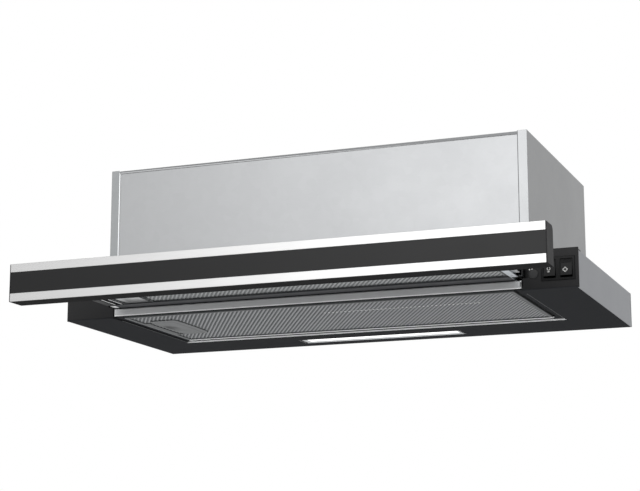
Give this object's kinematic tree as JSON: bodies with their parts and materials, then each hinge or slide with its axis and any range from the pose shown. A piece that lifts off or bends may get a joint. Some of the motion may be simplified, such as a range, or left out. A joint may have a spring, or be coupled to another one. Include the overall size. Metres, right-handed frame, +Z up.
{
  "type": "pull out range hood",
  "caption": "Built-in pull out cooker hood: narrow steel body on a flat wide base, black underside, sliding visor with mesh filters and a bar front.",
  "frame": {"origin": "centre of the four cabinet screw holes, on the seat plane where the wings meet the cabinet", "axes": "+Z up, +Y to the wall at the back, +X to the right as seen from the front; the visor bar faces -Y"},
  "size_m": [0.6, 0.4044, 0.2005],
  "materials": {
    "galvanised_steel": "bright rolled sheet",
    "crossbar_steel": "satin",
    "black_sheet": "fine satin black paint",
    "black_plastic": "fine moulded texture",
    "gloss_black": "polished",
    "bar_plastic": "fine moulded texture",
    "bar_black": "satin",
    "bar_silver": "brushed bright",
    "visor_steel": "rolled",
    "filter_aluminium": "expanded mesh in a folded rim",
    "latch_metal": "satin grey",
    "slide_zinc": "zinc plated",
    "lens": "opal diffuser",
    "board": "white solder mask",
    "blower_plastic": "moulded",
    "motor_paint": "satin",
    "zinc": "zinc plated",
    "white_plastic": "moulded"
  },
  "bodies": {
    "housing": {"cabinet_nuts": "galvanised_steel", "cable_gland": "black_plastic", "capacitor": "white_plastic", "crossbar": "crossbar_steel", "flap_pin": "zinc", "indicator": "gloss_black", "inner_walls": "galvanised_steel", "lamp_board": "board", "lamp_housing": "black_plastic", "lamp_lens": "lens", "left_front_block": "black_plastic", "left_wing": "galvanised_steel", "lower_filter_frame": "filter_aluminium", "lower_filter_mesh": "filter_aluminium", "motor": "motor_paint", "motor_bracket": "motor_paint", "outlet_collar": "black_plastic", "pan_head_screws": "zinc", "rear_panel": "galvanised_steel", "right_front_block": "black_plastic", "right_wing": "galvanised_steel", "scroll_left_half": "blower_plastic", "scroll_right_half": "blower_plastic", "slide_channels": "slide_zinc", "slot_header": "galvanised_steel", "switch_bezel": "gloss_black", "switch_body": "black_plastic", "terminal_box": "black_plastic", "terminal_lid": "black_plastic", "top_panel": "galvanised_steel", "underside_panel": "black_sheet", "upper_front_panel": "galvanised_steel", "upper_left_panel": "galvanised_steel", "upper_right_panel": "galvanised_steel", "visor_switch": "black_plastic"},
    "visor": {"bar_core": "bar_plastic", "bar_black_panel": "bar_black", "bar_lower_strip": "bar_silver", "bar_upper_strip": "bar_silver", "bar_left_cap": "bar_plastic", "bar_right_cap": "bar_plastic", "visor_left_side": "visor_steel", "visor_right_side": "visor_steel", "visor_rear_rail": "black_plastic", "visor_top_sheet": "visor_steel", "visor_filter_frame": "filter_aluminium", "visor_filter_mesh": "filter_aluminium", "left_slide_member": "slide_zinc", "right_slide_member": "slide_zinc"},
    "visor_latch": {"visor_filter_latch": "latch_metal"},
    "cages": {"ball_cages": "slide_zinc"},
    "lower_latch": {"lower_filter_latch": "latch_metal"},
    "light_switch": {"light_rocker": "gloss_black"},
    "fan_switch": {"fan_rocker": "gloss_black"},
    "wheel": {"impeller": "blower_plastic", "motor_shaft": "zinc"},
    "left_backdraft": {"left_flap": "black_plastic"},
    "right_backdraft": {"right_flap": "black_plastic"},
    "plunger": {"visor_switch_plunger": "white_plastic"}
  },
  "joints": [
    {"name": "visor_slide", "type": "slide", "parent": "housing", "child": "visor", "axis": [0, 1, 0], "range_m": [0, 0.103]},
    {"name": "cage_slide", "type": "slide", "parent": "housing", "child": "cages", "axis": [0, 1, 0], "range_m": [0, 0.0515]},
    {"name": "visor_latch_slide", "type": "slide", "parent": "visor", "child": "visor_latch", "axis": [1, 0, 0], "range_m": [0, 0.003], "stiffness_N_per_m": 400},
    {"name": "lower_latch_slide", "type": "slide", "parent": "housing", "child": "lower_latch", "axis": [1, 0, 0], "range_m": [0, 0.0085], "stiffness_N_per_m": 400},
    {"name": "light_rocker_tilt", "type": "hinge", "parent": "housing", "child": "light_switch", "pos_m": [0.2694, -0.1335, -0.019], "axis": [1, 0, 0], "range_deg": [0, 14]},
    {"name": "fan_rocker_tilt", "type": "hinge", "parent": "housing", "child": "fan_switch", "pos_m": [0.2872, -0.1335, -0.019], "axis": [1, 0, 0], "range_deg": [0, 14]},
    {"name": "impeller_spin", "type": "hinge", "parent": "housing", "child": "wheel", "pos_m": [0, -0.0095, 0.065], "axis": [1, 0, 0], "continuous": true},
    {"name": "left_flap_open", "type": "hinge", "parent": "housing", "child": "left_backdraft", "pos_m": [0, 0.0245, 0.142], "axis": [0, 1, 0], "range_deg": [0, 80]},
    {"name": "right_flap_open", "type": "hinge", "parent": "housing", "child": "right_backdraft", "pos_m": [0, 0.0245, 0.142], "axis": [0, -1, 0], "range_deg": [0, 80]},
    {"name": "plunger_press", "type": "slide", "parent": "housing", "child": "plunger", "axis": [0, 1, 0], "range_m": [0, 0.0015], "stiffness_N_per_m": 300}
  ],
  "couplings": [
    {"joint": "cage_slide", "follows": "visor_slide", "ratio": 0.5}
  ]
}
